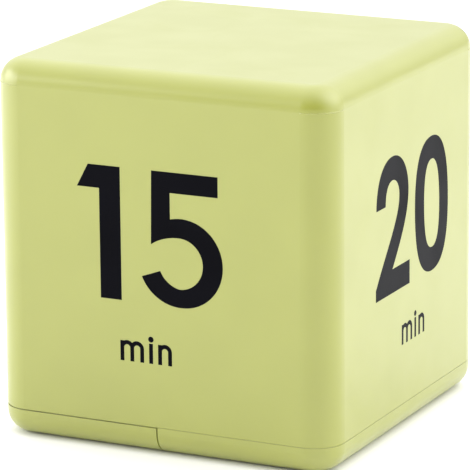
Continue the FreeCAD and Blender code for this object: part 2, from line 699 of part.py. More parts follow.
def switch_lever():
    """Sliding lever with its carriage inside the cover, shown in the off place."""
    y = SWITCH_Y - SWITCH_TRAVEL / 2
    half_u, half_v = LEVER_SIZE[0] / 2, LEVER_SIZE[1] / 2
    carriage = block((SWITCH_X - 1.6, SWITCH_X + 1.6), (y - 1.9, y + 2.3), (4.4, 5.8))
    stalk = block((SWITCH_X - half_u, SWITCH_X + half_u), (y - half_v, y + half_v), (1.6, 5.0))
    return joined(carriage, stalk)


def switch_knob():
    """Ridged cap on the lever, sunk below the face that the timer stands on."""
    y = SWITCH_Y - SWITCH_TRAVEL / 2
    half_u, half_v = KNOB_SIZE[0] / 2, KNOB_SIZE[1] / 2
    cap = rounded_block((SWITCH_X - half_u, SWITCH_X + half_u), (y - half_v, y + half_v), KNOB_Z, 0.7)
    stem = block((SWITCH_X - 1.3, SWITCH_X + 1.3), (y - 1.4, y + 1.4), (KNOB_Z[0] + 0.2, 3.4))
    knob = joined(cap, stem)
    grooves = [block((SWITCH_X - 1.9, SWITCH_X + 1.9), (y + step - 0.25, y + step + 0.25), (-1, 0.62))
               for step in (-2.0, -1.0, 0.0, 1.0, 2.0)]
    socket = block((SWITCH_X - LEVER_SIZE[0] / 2, SWITCH_X + LEVER_SIZE[0] / 2),
                   (y - LEVER_SIZE[1] / 2, y + LEVER_SIZE[1] / 2), (1.6, 4))
    return knob.cut(grooves + [socket])


def buzzer_can():
    """Round plastic sounder housing, open to the sound holes."""
    can = rod(BUZZER_RADIUS, BUZZER_Z, BUZZER_X, BUZZER_Y)
    hollow = rod(BUZZER_RADIUS - 0.8, (BUZZER_Z[0] + 0.8, BUZZER_Z[1] - 0.8), BUZZER_X, BUZZER_Y)
    mouth = rod(1.2, (0, BUZZER_Z[0] + 1.5), BUZZER_X, BUZZER_Y)
    return can.cut([hollow, mouth])


def buzzer_diaphragm():
    """Thin brass plate with its ceramic disc on the back."""
    z = BUZZER_Z[0] + 1.6
    plate = rod(BUZZER_RADIUS - 0.85, (z, z + 0.2), BUZZER_X, BUZZER_Y)
    disc = rod(3.4, (z + 0.2, z + 0.45), BUZZER_X, BUZZER_Y)
    return joined(plate, disc)


def buzzer_pins_at():
    return [(BUZZER_X + side * BUZZER_PIN_SPACING / 2, BUZZER_Y) for side in (-1, 1)]


def buzzer_pins():
    return group(rod(0.3, (BUZZER_Z[1], BOARD_TOP_Z + 1.0), x, y) for x, y in buzzer_pins_at())


# ---------------------------------------------------------------- tilt switches
def tilt_frame(x, y, direction):
    """Placement of a switch drawn along +Z from the origin, and its pins' sideways offset."""
    slope = math.radians(TILT_SLOPE_DEG)
    axis = V(direction[0] * math.cos(slope), direction[1] * math.cos(slope), math.sin(slope))
    placement = FreeCAD.Placement(V(x, y, TILT_AXIS_Z), FreeCAD.Rotation(UP, axis))
    across = placement.inverse().Rotation.multVec(V(-direction[1], direction[0], 0))
    return placement, V(across.x, across.y, 0) * TILT_PIN_OFFSET


def tilt_cans():
    """Four drawn metal tubes, closed at their lower ends."""
    cans = []
    for _, x, y, direction in TILT_SWITCHES:
        placement, _ = tilt_frame(x, y, direction)
        can = rod(TILT_CAN_RADIUS, (0, TILT_CAN_LENGTH)).cut(
            rod(TILT_BORE_RADIUS, (TILT_END_THICK, 2 * TILT_CAN_LENGTH)))
        can.Placement = placement
        cans.append(can)
    return group(cans)


def tilt_plugs():
    """Four moulded plugs that close the tubes and carry the pins."""
    plugs = []
    for _, x, y, direction in TILT_SWITCHES:
        placement, offset = tilt_frame(x, y, direction)
        flange = (TILT_CAN_LENGTH, TILT_CAN_LENGTH + TILT_FLANGE_LENGTH)
        plug = joined(rod(TILT_BORE_RADIUS, (TILT_PLUG_START, TILT_CAN_LENGTH)),
                      rod(TILT_CAN_RADIUS, flange))
        plug = plug.cut([rod(0.26, (0, 20), side * offset.x, side * offset.y) for side in (-1, 1)])
        plug.Placement = placement
        plugs.append(plug)
    return group(plugs)


def tilt_pin_tops():
    """Where each pin bends down and where it starts in its plug."""
    tops = []
    for _, x, y, direction in TILT_SWITCHES:
        placement, offset = tilt_frame(x, y, direction)
        reach = TILT_CAN_LENGTH + TILT_FLANGE_LENGTH + 0.7
        for side in (-1, 1):
            top, root = (offset * side + UP * along for along in (reach, TILT_PLUG_START + 0.1))
            tops.append((placement.multVec(top), placement.multVec(root)))
    return tops


def tilt_pins():
    """Eight wire pins, bent down into the board."""
    pins = []
    for top, root in tilt_pin_tops():
        along = top - root
        inner = Part.makeCylinder(0.25, along.Length, root, along)
        bend = Part.makeSphere(0.25, top)
        down = Part.makeCylinder(0.25, top.z - BOARD_Z, V(top.x, top.y, BOARD_Z))
        pins.append(joined(inner, bend, down))
    return group(pins)


def tilt_ball(name):
    """The ball inside one tilt switch, resting at the closed lower end."""
    for label, x, y, direction in TILT_SWITCHES:
        if label == name:
            placement, _ = tilt_frame(x, y, direction)
            centre = placement.multVec(UP * (TILT_END_THICK + TILT_BALL_RADIUS + TILT_BALL_GAP))
            return Part.makeSphere(TILT_BALL_RADIUS, centre)


# ---------------------------------------------------------------- circuit board
CRYSTAL_Y = -13.6
CRYSTAL_X = (13.6, 19.6)
CAPACITOR = (26.2, 0.6)
CHIP = (14.6, 1.0)
WIRE_PADS = ((2.5, -19.8), (2.5, -16.9))     # first cell's lead, second cell's lead
CHIP_PARTS = ((9.6, 15.0), (9.6, 18.0), (13.4, 15.0), (13.4, 18.0), (17.4, 15.0), (17.4, 18.0),
              (10.4, -11.6), (22.6, -15.8), (25.6, -4.8), (8.9, 3.4), (8.9, 0.6), (23.0, 18.0))


def circuit_board():
    """Single-sided board, notched round the two screw pillars."""
    board = block(BOARD_X, (-BOARD_HALF_Y, BOARD_HALF_Y), (BOARD_Z, BOARD_TOP_Z))
    cuts = [block((BOARD_NOTCH, 40), sorted((side * BOARD_NOTCH, side * 40)), (0, 20))
            for side in (-1, 1)]
    cuts += [rod(1.25, (0, 20), x, y) for x, y in BOARD_SCREWS]
    pins = switch_pins_at() + buzzer_pins_at()
    pins += [(top.x, top.y) for top, _ in tilt_pin_tops()]
    pins += [(CAPACITOR[0], CAPACITOR[1] + side) for side in (-1.0, 1.0)]
    pins += list(WIRE_PADS)
    cuts += [rod(PIN_HOLE_RADIUS, (0, 20), x, y) for x, y in pins]
    return board.cut(cuts)


def chip_blob():
    """Domed resin drop over the bonded chip."""
    radius, rise = 4.4, 1.3
    ball = (radius ** 2 + rise ** 2) / (2 * rise)
    dome = Part.makeSphere(ball, V(CHIP[0], CHIP[1], BOARD_TOP_Z + rise - ball))
    return dome.common(block((0, 40), (-20, 20), (BOARD_TOP_Z, BOARD_TOP_Z + 5)))


def crystal():
    """Cylindrical watch crystal lying on the board."""
    length = CRYSTAL_X[1] - CRYSTAL_X[0]
    z = BOARD_TOP_Z + 1.1
    can = Part.makeCylinder(1.0, length, V(CRYSTAL_X[0], CRYSTAL_Y, z), V(1, 0, 0))
    start = V(CRYSTAL_X[1] - 0.3, CRYSTAL_Y, z)
    leads = [Part.makeCylinder(0.15, 1.8, start + V(0, side * 0.4, 0), V(1, 0, 0)) for side in (-1, 1)]
    feet = [rod(0.2, (BOARD_TOP_Z, z + 0.25), CRYSTAL_X[1] + 1.5, CRYSTAL_Y + side * 0.4) for side in (-1, 1)]
    return joined(can, *leads, *feet)


def capacitor():
    """Upright electrolytic capacitor with its two leads."""
    x, y = CAPACITOR
    can = rod(2.5, (BOARD_TOP_Z + 0.1, BOARD_TOP_Z + 7.1), x, y)
    top_edge = edges_at(can, lambda p: abs(p.z - BOARD_TOP_Z - 7.1) < 1e-6)
    can = can.makeFillet(0.4, top_edge)
    leads = [rod(0.25, (BOARD_Z - 0.8, BOARD_TOP_Z + 0.5), x, y + side) for side in (-1.0, 1.0)]
    return joined(can, *leads)


def chip_parts():
    """Small resistors and capacitors soldered flat on the board."""
    return group(block((x - 0.8, x + 0.8), (y - 0.4, y + 0.4), (BOARD_TOP_Z, BOARD_TOP_Z + 0.55))
                 for x, y in CHIP_PARTS)


# ---------------------------------------------------------------- cells, contacts and leads
def cell_direction(index):
    """-1 where the positive end faces -Y, +1 where it faces +Y."""
    return -1 if index == 0 else 1


def cell(index):
    """Steel can of one AAA cell with its positive nub."""
    x, way = CELL_X[index], cell_direction(index)
    body = CELL_LENGTH - NUB_LENGTH
    back = way * (CELL_TIP_Y - CELL_LENGTH)
    can = Part.makeCylinder(CELL_RADIUS - SLEEVE_THICK, body, V(x, back, CELL_AXIS_Z), V(0, way, 0))
    ends = edges_at(can, lambda p: abs(p.y - back) < 1e-6 or abs(p.y - back - way * body) < 1e-6)
    can = can.makeFillet(0.5, ends)
    nub = Part.makeCylinder(NUB_RADIUS, CELL_LENGTH - 1.0, V(x, back + way, CELL_AXIS_Z), V(0, way, 0))
    tip = edges_at(nub, lambda p: abs(p.y - way * CELL_TIP_Y) < 1e-6)
    return joined(can, nub.makeFillet(0.3, tip))


def cell_sleeve(index):
    """Thin printed film round one cell."""
    x, way = CELL_X[index], cell_direction(index)
    start = way * (CELL_TIP_Y - CELL_LENGTH + 0.7)
    length = CELL_LENGTH - NUB_LENGTH - 1.4
    axis = V(0, way, 0)
    outside = Part.makeCylinder(CELL_RADIUS, length, V(x, start, CELL_AXIS_Z), axis)
    return outside.cut(Part.makeCylinder(CELL_RADIUS - SLEEVE_THICK, length, V(x, start, CELL_AXIS_Z), axis))


def coil_spring(x, way):
    """Conical contact spring, closed at both ends, with its wide end let into a contact plate."""
    wire, turns, bite = 0.33, 3.0, 0.12
    height = CONTACT_FACE_Y - (CELL_LENGTH - CELL_TIP_Y) - 0.05 + bite - 2 * wire
    wide, narrow = 3.7, 2.5
    slant = math.hypot(height, wide - narrow)
    flare = math.degrees(math.atan((wide - narrow) / height))
    helix = Part.makeHelix(slant / turns, slant, narrow, flare)
    start, end = helix.Vertexes[0].Point, helix.Vertexes[-1].Point
    profile = Part.Wire([Part.makeCircle(wire, start, helix.Edges[0].tangentAt(0))])
    coil = Part.Wire(helix).makePipeShell([profile], True, True)
    tip = Part.makeTorus(narrow, 1.06 * wire, V(0, 0, 0), UP)
    seat = Part.makeTorus(math.hypot(end.x, end.y), 1.06 * wire, V(0, 0, end.z), UP)
    spring = joined(coil, tip, seat)
    spring.rotate(V(0, 0, 0), V(1, 0, 0), -90 * way)
    spring.translate(V(x, way * (CONTACT_FACE_Y - wire + bite - end.z), CELL_AXIS_Z))
    return spring


def contact_plate(x, way, tab):
    """Flat plate at one end of the bay, with a solder tab above the ceiling if wanted."""
    y = sorted((way * CONTACT_FACE_Y, way * (CONTACT_FACE_Y + CONTACT_THICK)))
    plate = block((x[0], x[1]), y, (3.6, 11.6))
    if tab:
        middle = (x[0] + x[1]) / 2
        plate = joined(plate, block((middle - 1.2, middle + 1.2), y, (11.0, 17.0)))
    return plate


def button(x, way):
    """Pressed dimple that meets a cell's positive tip."""
    depth = CONTACT_FACE_Y - CELL_TIP_Y - 0.02
    return Part.makeCone(2.2, 1.3, depth, V(x, way * CONTACT_FACE_Y, CELL_AXIS_Z), V(0, -way, 0))


def double_contact():
    """Plate that links the first cell's negative end to the second cell's positive end."""
    plate = contact_plate((CELL_X[0] - 4.2, CELL_X[1] + 4.2), 1, False)
    return joined(plate, coil_spring(CELL_X[0], 1), button(CELL_X[1], 1))


def positive_contact():
    x = CELL_X[0]
    return joined(contact_plate((x - 4.2, x + 4.2), -1, True), button(x, -1))


def negative_contact():
    x = CELL_X[1]
    return joined(contact_plate((x - 4.2, x + 4.2), -1, True), coil_spring(x, -1))


LEAD_RADIUS = 0.6


def lead_path(points):
    """Straight runs joined by tangent arcs as large as their runs allow."""
    places = [V(*p) for p in points]
    edges, last = [], places[0]
    for before, corner, after in zip(places, places[1:], places[2:]):
        back, ahead = (before - corner), (after - corner)
        reach = 0.45 * min(back.Length, ahead.Length)
        back.normalize()
        ahead.normalize()
        start, end = corner + back * reach, corner + ahead * reach
        half_turn = (math.pi - back.getAngle(ahead)) / 2
        radius = reach / math.tan(half_turn)
        inward = back + ahead
        inward.normalize()
        middle = corner + inward * (radius / math.cos(half_turn) - radius)
        edges.append(Part.makeLine(last, start))
        edges.append(Part.Arc(start, middle, end).toShape())
        last = end
    edges.append(Part.makeLine(last, places[-1]))
    return Part.Wire(edges)


def lead(points):
    """Insulated wire along a path."""
    path = lead_path(points)
    first = path.Edges[0]
    start, tangent = first.valueAt(first.FirstParameter), first.tangentAt(first.FirstParameter)
    profile = Part.Wire([Part.makeCircle(LEAD_RADIUS, start, tangent)])
    return path.makePipeShell([profile], True, True)


def positive_lead():
    """From the first cell's tab, over the bay, down to the board."""
    pad = WIRE_PADS[0]
    return lead([(CELL_X[0], -25.4, 15.8), (-13.0, -26.0, 15.4), (-5.2, -26.0, 15.4),
                 (-0.4, -23.6, 16.2), (pad[0], pad[1], 14.6), (pad[0], pad[1], BOARD_TOP_Z + 0.05)])


def negative_lead():
    """From the second cell's tab, over the bay, down to the board."""
    pad = WIRE_PADS[1]
    return lead([(CELL_X[1], -23.6, 15.8), (-4.6, -20.6, 18.2), (-1.6, -18.0, 18.6),
                 (1.6, -17.2, 17.4), (pad[0], pad[1], 13.4), (pad[0], pad[1], BOARD_TOP_Z + 0.05)])


# ---------------------------------------------------------------- fasteners
def pan_head_screw(x, y, seat_z, head_radius, head_height, shank_radius, length, head_down):
    """Cross-slot screw that points up, or down where its head is on top."""
    way = 1 if head_down else -1
    head = rod(head_radius, sorted((seat_z, seat_z - way * head_height)), x, y)
    rim = edges_at(head, lambda p: abs(p.z - seat_z + way * head_height) < 1e-6)
    head = head.makeFillet(0.45 * head_height, rim)
    shank = rod(shank_radius, sorted((seat_z - way * 0.3, seat_z + way * (length - 1.0))), x, y)
    base_z = seat_z + way * (length - 1.0)
    point = Part.makeCone(shank_radius, 0.3, 1.0, V(x, y, base_z), V(0, 0, way))
    screw = joined(head, shank, point)
    arm, slot = 0.62 * head_radius, 0.14 * head_radius
    cross_z = sorted((seat_z - way * head_height * 0.45, seat_z - way * (head_height + 1)))
    return screw.cut([block((x - arm, x + arm), (y - slot, y + slot), cross_z),
                      block((x - slot, x + slot), (y - arm, y + arm), cross_z)])


def case_screws():
    return group(pan_head_screw(x, y, SCREW_SEAT_Z, SCREW_HEAD_RADIUS, SCREW_HEAD_HEIGHT,
                                SCREW_SHANK_RADIUS, SCREW_SHANK_LENGTH, True)
                 for x, y in screw_places())


def board_screws():
    return group(pan_head_screw(x, y, BOARD_TOP_Z, 1.7, 1.1, 0.8, 5.0, False)
                 for x, y in BOARD_SCREWS)


# ---------------------------------------------------------------- nodes
NODES = {
    "upper_case": upper_case,
    "base_plate": base_plate,
    "battery_door": battery_door,
    "lcd_window": lcd_window,
    "lens_tape": lens_tape,
    "lcd_front_film": lcd_front_film,
    "lcd_front_glass": lcd_front_glass,
    "lcd_segments": lcd_segments,
    "lcd_rear_glass": lcd_rear_glass,
    "lcd_reflector": lcd_reflector,
    "lcd_holder": lcd_holder,
    "rubber_connector": rubber_connector,
    "circuit_board": circuit_board,
    "chip_blob": chip_blob,
    "crystal": crystal,
    "capacitor": capacitor,
    "chip_parts": chip_parts,
    "tilt_cans": tilt_cans,
    "tilt_plugs": tilt_plugs,
    "tilt_pins": tilt_pins,
    "switch_case": switch_case,
    "switch_base": switch_base,
    "switch_lever": switch_lever,
    "switch_knob": switch_knob,
    "buzzer_can": buzzer_can,
    "buzzer_diaphragm": buzzer_diaphragm,
    "buzzer_pins": buzzer_pins,
    "first_cell": lambda: cell(0),
    "second_cell": lambda: cell(1),
    "first_cell_sleeve": lambda: cell_sleeve(0),
    "second_cell_sleeve": lambda: cell_sleeve(1),
    "double_contact": double_contact,
    "positive_contact": positive_contact,
    "negative_contact": negative_contact,
    "positive_lead": positive_lead,
    "negative_lead": negative_lead,
    "case_screws": case_screws,
    "board_screws": board_screws,
}
for label, *_ in TILT_SWITCHES:
    NODES["tilt_ball_" + label] = lambda label=label: tilt_ball(label)
for node, details in PRINTS.items():
    NODES[node] = lambda details=details: group(print_solids(*details))


def main():
    os.makedirs("parts", exist_ok=True)
    for node, make in NODES.items():
        shape = make()
        closed = all(s.isValid() and s.isClosed() for s in shape.Solids)
        volume = sum(s.Volume for s in shape.Solids)
        print(f"{node}: {len(shape.Solids)} solids, {volume:.2f} mm3, {'good' if closed else 'BAD'}")
        shape.exportStep(f"parts/{node}.step")


main()
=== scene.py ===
"""Looks of a cube-shaped kitchen timer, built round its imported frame.

Lengths are metres in the frame's own axes: +Z up, -Y out of the 15 minute face, +X out of the 20 minute face.
"""

import logging
import math
from dataclasses import dataclass, field
from enum import Enum
from typing import ClassVar, Optional, Sequence

import bmesh
import bpy
from mathutils import Matrix, Vector


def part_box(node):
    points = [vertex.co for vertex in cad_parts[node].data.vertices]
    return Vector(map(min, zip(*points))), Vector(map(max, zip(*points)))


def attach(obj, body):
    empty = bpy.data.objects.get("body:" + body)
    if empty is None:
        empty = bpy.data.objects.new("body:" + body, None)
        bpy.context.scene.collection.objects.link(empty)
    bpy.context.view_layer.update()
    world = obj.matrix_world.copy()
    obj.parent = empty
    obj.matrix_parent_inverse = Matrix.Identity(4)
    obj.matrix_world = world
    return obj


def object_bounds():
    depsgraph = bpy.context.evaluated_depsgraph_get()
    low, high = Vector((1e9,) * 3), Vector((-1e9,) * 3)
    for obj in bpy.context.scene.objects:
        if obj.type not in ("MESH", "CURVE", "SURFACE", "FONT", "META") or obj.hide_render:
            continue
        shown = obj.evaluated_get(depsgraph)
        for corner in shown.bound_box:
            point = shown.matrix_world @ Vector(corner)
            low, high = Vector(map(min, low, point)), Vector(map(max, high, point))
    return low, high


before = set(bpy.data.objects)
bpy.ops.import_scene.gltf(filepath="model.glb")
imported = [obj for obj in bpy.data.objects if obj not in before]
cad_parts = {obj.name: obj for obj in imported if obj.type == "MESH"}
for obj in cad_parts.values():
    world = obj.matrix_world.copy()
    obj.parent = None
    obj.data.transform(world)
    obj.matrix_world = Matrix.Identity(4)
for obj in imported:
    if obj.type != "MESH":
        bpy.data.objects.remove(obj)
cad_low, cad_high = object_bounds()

log = logging.getLogger("kitchen_timer")

MM = 0.001
Colour = tuple[float, float, float]
Point = tuple[float, float, float]

MOTTLE_RANGE = (0.3, 0.7)      # where a pattern's slow variation turns from dark to light


# ---------------------------------------------------------------- shader graph tools
class Graph:
    """Adds nodes to one node tree and joins them."""

    def __init__(self, tree: bpy.types.NodeTree) -> None:
        """Starts on a tree.

        Args:
            tree: the node tree to add to.
        """
        self.tree = tree

    def node(self, kind: str, inputs: Optional[dict] = None, **settings: object) -> bpy.types.Node:
        """Adds one node.

        Args:
            kind: Blender's identifier of the node type.
            inputs: values, or sockets to join, by input name or number.
            settings: attributes of the node itself.

        Returns:
            The new node.
        """
        made = self.tree.nodes.new(kind)
        for name, value in settings.items():
            setattr(made, name, value)
        for key, value in (inputs or {}).items():
            self.feed(made.inputs[key], value)
        return made

    def feed(self, socket: bpy.types.NodeSocket, value: object) -> None:
        """Joins a socket to an input, or sets the input's own value.

        Args:
            socket: the input.
            value: an output socket, a number or a colour.
        """
        if isinstance(value, bpy.types.NodeSocket):
            self.tree.links.new(value, socket)
        elif socket.type == "RGBA" and len(value) == 3:
            socket.default_value = (*value, 1.0)
        else:
            socket.default_value = value

    def calc(self, operation: str, *values: object, clamp: bool = False) -> bpy.types.NodeSocket:
        """Adds a Math node.

        Args:
            operation: the Math node's operation.
            values: numbers or sockets, in order.
            clamp: True to keep the result between 0 and 1.

        Returns:
            The result's socket.
        """
        made = self.node("ShaderNodeMath", dict(enumerate(values)), operation=operation, use_clamp=clamp)
        return made.outputs[0]

    def span(self, value: object, low: float, high: float, to_low: float,
             to_high: float) -> bpy.types.NodeSocket:
        """Maps one range of values smoothly onto another.

        Args:
            value: the socket to map.
            low: where the first range starts.
            high: where the first range ends.
            to_low: what low becomes.
            to_high: what high becomes.

        Returns:
            The mapped socket.
        """
        inputs = {0: value, 1: low, 2: high, 3: to_low, 4: to_high}
        return self.node("ShaderNodeMapRange", inputs, interpolation_type="SMOOTHSTEP").outputs[0]

    def blend(self, share: object, first: object, second: object) -> bpy.types.NodeSocket:
        """Mixes two colours.

        Args:
            share: how much of the second colour, 0 to 1.
            first: colour or socket.
            second: colour or socket.

        Returns:
            The mixed colour's socket.
        """
        mix = self.node("ShaderNodeMix", data_type="RGBA")
        self.feed(mix.inputs[0], share)
        self.feed(mix.inputs[6], first)
        self.feed(mix.inputs[7], second)
        return mix.outputs[2]

    def noise(self, place: object, scale: float, detail: float = 2.0, roughness: float = 0.5,
              distortion: float = 0.0) -> bpy.types.NodeSocket:
        """Adds a Noise Texture.

        Args:
            place: the coordinates' socket.
            scale: features per metre.
            detail: octaves.
            roughness: share of each finer octave.
            distortion: how far the noise is pulled about.

        Returns:
            The noise value's socket.
        """
        inputs = {"Vector": place, "Scale": scale, "Detail": detail, "Roughness": roughness,
                  "Distortion": distortion}
        return self.node("ShaderNodeTexNoise", inputs).outputs[0]


# ---------------------------------------------------------------- shared effects
class Effect:
    """A shader node group that is built once and placed in many materials."""

    title: ClassVar[str] = ""
    numbers: ClassVar[dict[str, float]] = {}
    colours: ClassVar[dict[str, Colour]] = {}
    outputs: ClassVar[tuple[tuple[str, str], ...]] = ()

    @classmethod
    def tree(cls) -> bpy.types.NodeTree:
        """Finds the group's tree, and builds it the first time.

        Returns:
            The node tree.
        """
        found = bpy.data.node_groups.get(cls.title)
        if found:
            return found
        made = bpy.data.node_groups.new(cls.title, "ShaderNodeTree")
        for name, value in cls.numbers.items():
            socket = made.interface.new_socket(name=name, in_out="INPUT", socket_type="NodeSocketFloat")
            socket.default_value = value
        for name, colour in cls.colours.items():
            socket = made.interface.new_socket(name=name, in_out="INPUT", socket_type="NodeSocketColor")
            socket.default_value = (*colour, 1.0)
        for name, kind in cls.outputs:
            made.interface.new_socket(name=name, in_out="OUTPUT", socket_type="NodeSocket" + kind)
        graph = Graph(made)
        entry = graph.node("NodeGroupInput")
        leave = graph.node("NodeGroupOutput")
        for name, socket in cls.fill(graph, entry.outputs).items():
            graph.feed(leave.inputs[name], socket)
        return made

    @classmethod
    def fill(cls, graph: Graph, given: bpy.types.NodeOutputs) -> dict[str, bpy.types.NodeSocket]:
        """Builds the inside of the group.

        Args:
            graph: tools for the group's tree.
            given: the group's input sockets.

        Returns:
            The socket that feeds each output, by name.
        """
        raise NotImplementedError

    @classmethod
    def place(cls, graph: Graph, **values: object) -> bpy.types.NodeOutputs:
        """Puts the group into a material.

        Args:
            graph: tools for the material's tree.
            values: the group's inputs, with _ for each space in a name.

        Returns:
            The group's output sockets.
        """
        made = graph.node("ShaderNodeGroup", node_tree=cls.tree())
        for name, value in values.items():
            graph.feed(made.inputs[name.replace("_", " ").capitalize()], value)
        return made.outputs


class MouldedGrain(Effect):
    """The fine spark-eroded texture and slight waviness of a moulded surface."""

    title = "moulded grain"
    numbers = {"Grain size": 0.16 * MM, "Wave size": 9.0 * MM, "Wave share": 0.25}
    outputs = (("Height", "Float"), ("Mottle", "Float"))
    wave_weight: ClassVar[float] = 20.0      # height of the swell against the fine noise
    wave_shade: ClassVar[float] = 0.7        # part of the mottle that follows the swell

    @classmethod
    def fill(cls, graph: Graph, given: bpy.types.NodeOutputs) -> dict[str, bpy.types.NodeSocket]:
        """Builds fine noise over a slow swell; see the base class for Args and Returns."""
        place = graph.node("ShaderNodeTexCoord").outputs["Object"]
        fine = graph.noise(place, graph.calc("DIVIDE", 1.0, given["Grain size"]), 3.0, 0.6)
        wave = graph.noise(place, graph.calc("DIVIDE", 1.0, given["Wave size"]), 1.0, 0.4)
        rise = graph.calc("MULTIPLY", wave, given["Wave share"])
        height = graph.calc("ADD", fine, graph.calc("MULTIPLY", rise, cls.wave_weight))
        mottle = graph.calc("ADD", graph.calc("MULTIPLY", wave, cls.wave_shade),
                            graph.calc("MULTIPLY", fine, 1.0 - cls.wave_shade))
        return {"Height": height, "Mottle": mottle}


class HandlingMarks(Effect):
    """Soft smears where fingers have been, and a few fine hairline scratches."""

    title = "handling marks"
    numbers = {"Smear size": 14.0 * MM, "Scratch size": 3.0 * MM, "Scratch share": 0.5}
    outputs = (("Smear", "Float"), ("Scratch", "Float"))
    smear_range: ClassVar[tuple[float, float]] = (0.48, 0.72)
    patch_range: ClassVar[tuple[float, float]] = (0.55, 0.7)
    scratch_turn: ClassVar[Point] = (0.6, 0.4, 0.9)
    scratch_stretch: ClassVar[Point] = (1.0, 30.0, 30.0)
    scratch_half_width: ClassVar[float] = 0.006

    @classmethod
    def fill(cls, graph: Graph, given: bpy.types.NodeOutputs) -> dict[str, bpy.types.NodeSocket]:
        """Builds smears from distorted noise and scratches from a stretched one."""
        place = graph.node("ShaderNodeTexCoord").outputs["Object"]
        scale = graph.calc("DIVIDE", 1.0, given["Smear size"])
        cloud = graph.noise(place, scale, 4.0, 0.55, 0.8)
        smear = graph.span(cloud, *cls.smear_range, 0.0, 1.0)
        turned = graph.node("ShaderNodeMapping", {"Vector": place, "Rotation": cls.scratch_turn,
                                                  "Scale": cls.scratch_stretch}).outputs[0]
        hair = graph.noise(turned, graph.calc("DIVIDE", 0.35, given["Scratch size"]), 0.0, 0.5)
        line = graph.calc("ABSOLUTE", graph.calc("SUBTRACT", hair, 0.5))
        thin = graph.span(line, 0.0, cls.scratch_half_width, 1.0, 0.0)
        cover = graph.noise(place, graph.calc("DIVIDE", 0.2, given["Scratch size"]), 1.0)
        patch = graph.span(cover, *cls.patch_range, 0.0, 1.0)
        scratch = graph.calc("MULTIPLY", graph.calc("MULTIPLY", thin, patch), given["Scratch share"])
        return {"Smear": smear, "Scratch": scratch}


class EdgeWearAndHighlight(Effect):
    """Pale sharp edges: where they have been rubbed, and a painted highlight along them."""

    # the paling this group masks is partly rubbing and partly a painted highlight along sharp edges
    title = "rubbed edges and painted highlight"
    numbers = {"Width": 0.12 * MM, "Breakup size": 1.5 * MM}
    outputs = (("Mask", "Float"),)
    turn_range: ClassVar[tuple[float, float]] = (0.80, 0.985)     # cosines between the two normals
    breakup_range: ClassVar[tuple[float, float]] = (0.35, 0.6)
    least_kept: ClassVar[float] = 0.25

    @classmethod
    def fill(cls, graph: Graph, given: bpy.types.NodeOutputs) -> dict[str, bpy.types.NodeSocket]:
        """Builds a mask from how far a bevelled normal turns away from the true one."""
        bevel = graph.node("ShaderNodeBevel", {"Radius": given["Width"]}, samples=4)
        normal = graph.node("ShaderNodeNewGeometry").outputs["Normal"]
        dot = graph.node("ShaderNodeVectorMath", {0: bevel.outputs[0], 1: normal}, operation="DOT_PRODUCT")
        turned = graph.span(dot.outputs["Value"], *cls.turn_range, 1.0, 0.0)
        place = graph.node("ShaderNodeTexCoord").outputs["Object"]
        broken = graph.noise(place, graph.calc("DIVIDE", 1.0, given["Breakup size"]), 3.0, 0.6)
        kept = graph.span(broken, *cls.breakup_range, cls.least_kept, 1.0)
        return {"Mask": graph.calc("MULTIPLY", turned, kept, clamp=True)}


class BrushedLines(Effect):
    """Fine drawn or rolled lines along one axis of a metal part."""

    title = "brushed lines"
    numbers = {"Line size": 0.08 * MM, "Stretch": 40.0}
    outputs = (("Height", "Float"), ("Shade", "Float"))
    stain_scale: ClassVar[float] = 350.0     # stains per metre

    @classmethod
    def fill(cls, graph: Graph, given: bpy.types.NodeOutputs) -> dict[str, bpy.types.NodeSocket]:
        """Builds noise that is stretched along Y."""
        place = graph.node("ShaderNodeTexCoord").outputs["Object"]
        shrink = graph.calc("DIVIDE", 1.0, given["Stretch"])
        squeeze = graph.node("ShaderNodeCombineXYZ", {0: 1.0, 1: shrink, 2: 1.0}).outputs[0]
        pulled = graph.node("ShaderNodeVectorMath", {0: place, 1: squeeze}, operation="MULTIPLY").outputs[0]
        lines = graph.noise(pulled, graph.calc("DIVIDE", 1.0, given["Line size"]), 3.0, 0.6)
        stain = graph.noise(place, cls.stain_scale, 3.0, 0.6)
        shade = graph.calc("ADD", graph.calc("MULTIPLY", lines, 0.5), graph.calc("MULTIPLY", stain, 0.5))
        return {"Height": lines, "Shade": shade}


# ---------------------------------------------------------------- finishes
class Pattern(Enum):
    """What a plain finish's surface is broken up with."""

    MOULDED = "moulded"
    DRAWN = "drawn"


